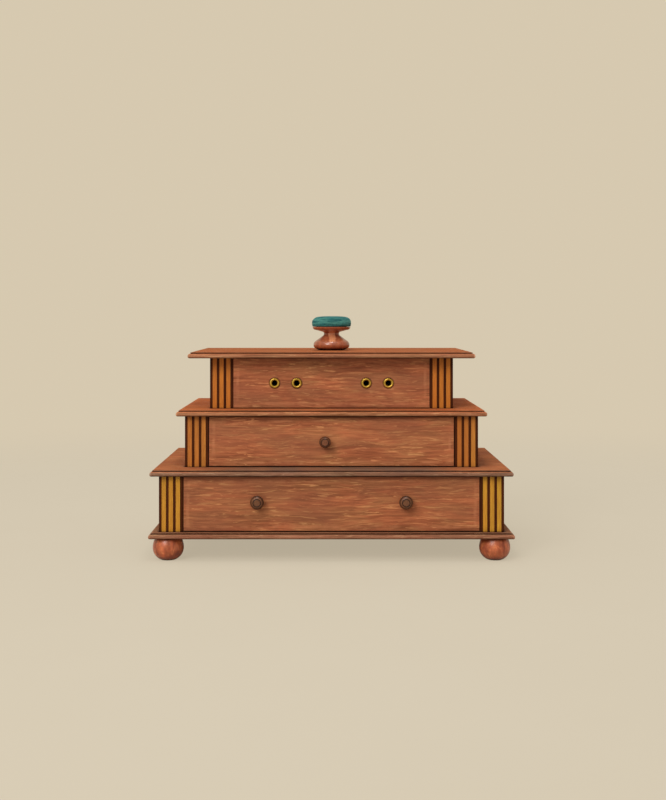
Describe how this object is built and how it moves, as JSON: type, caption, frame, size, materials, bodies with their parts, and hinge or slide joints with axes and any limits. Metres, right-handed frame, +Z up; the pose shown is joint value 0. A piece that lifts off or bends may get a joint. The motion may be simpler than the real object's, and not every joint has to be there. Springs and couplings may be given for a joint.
{
  "type": "sewing box",
  "caption": "Stepped wooden sewing box on ball feet with drawers, a hinged lid over a spool compartment, thread eyelets and a pincushion on a turned stand.",
  "frame": {"origin": "on the floor under the middle of the box's whole width and depth", "axes": "+X to the right, the front faces -Y, +Z up"},
  "size_m": [0.305, 0.186, 0.2045],
  "materials": {
    "case_wood": "oiled reddish brown wood with a soft sheen",
    "turned_wood": "polished turned wood",
    "dark_wood": "dark stained wood",
    "yellow_slip_wood": "golden yellow wood",
    "amber_slip_wood": "amber wood",
    "orange_slip_wood": "orange wood",
    "knob_wood": "dark polished wood",
    "inner_wood": "plain pale wood, unpolished",
    "pin_wood": "pale turned wood",
    "brass": "aged brass",
    "steel": "dull wire brads",
    "pad_fabric": "teal velvet"
  },
  "bodies": {
    "case": {"base_board": "case_wood", "lower_shelf": "case_wood", "upper_shelf": "case_wood", "top_front_panel": "case_wood", "bottom_back_board": "case_wood", "bottom_side_left": "case_wood", "bottom_post_left": "dark_wood", "bottom_slips_left": "yellow_slip_wood", "bottom_side_right": "case_wood", "bottom_post_right": "dark_wood", "bottom_slips_right": "yellow_slip_wood", "middle_back_board": "case_wood", "middle_side_left": "case_wood", "middle_post_left": "dark_wood", "middle_slips_left": "amber_slip_wood", "middle_side_right": "case_wood", "middle_post_right": "dark_wood", "middle_slips_right": "amber_slip_wood", "top_back_board": "case_wood", "top_side_left": "case_wood", "top_post_left": "dark_wood", "top_slips_left": "orange_slip_wood", "top_side_right": "case_wood", "top_post_right": "dark_wood", "top_slips_right": "orange_slip_wood", "foot_front_left": "turned_wood", "foot_front_right": "turned_wood", "foot_rear_left": "turned_wood", "foot_rear_right": "turned_wood", "bottom_drawer_guides": "inner_wood", "middle_drawer_guides": "inner_wood", "back_board_brads": "steel", "spool_pins": "pin_wood", "thread_eyelets": "brass", "hinge_pins": "brass", "hinge_case_screws": "brass", "hinge_left_case_leaf": "brass", "hinge_right_case_leaf": "brass"},
    "lid": {"lid_board": "case_wood", "pincushion_stand": "turned_wood", "pincushion_pad": "pad_fabric", "hinge_lid_screws": "brass", "hinge_left_lid_leaf": "brass", "hinge_right_lid_leaf": "brass"},
    "bottom_drawer": {"bottom_drawer_front": "case_wood", "bottom_drawer_side_left": "inner_wood", "bottom_drawer_side_right": "inner_wood", "bottom_drawer_back": "inner_wood", "bottom_drawer_bottom": "inner_wood", "bottom_drawer_brads": "steel", "bottom_drawer_knob_left": "knob_wood", "bottom_drawer_knob_right": "knob_wood"},
    "middle_drawer": {"middle_drawer_front": "case_wood", "middle_drawer_side_left": "inner_wood", "middle_drawer_side_right": "inner_wood", "middle_drawer_back": "inner_wood", "middle_drawer_bottom": "inner_wood", "middle_drawer_brads": "steel", "middle_drawer_knob": "knob_wood"}
  },
  "joints": [
    {"name": "lid_hinge", "type": "hinge", "parent": "case", "child": "lid", "pos_m": [0, 0.086, 0.1675], "axis": [-1, 0, 0], "range_deg": [0, 105]},
    {"name": "bottom_drawer_slide", "type": "slide", "parent": "case", "child": "bottom_drawer", "axis": [0, -1, 0], "range_m": [0, 0.125]},
    {"name": "middle_drawer_slide", "type": "slide", "parent": "case", "child": "middle_drawer", "axis": [0, -1, 0], "range_m": [0, 0.11]}
  ]
}
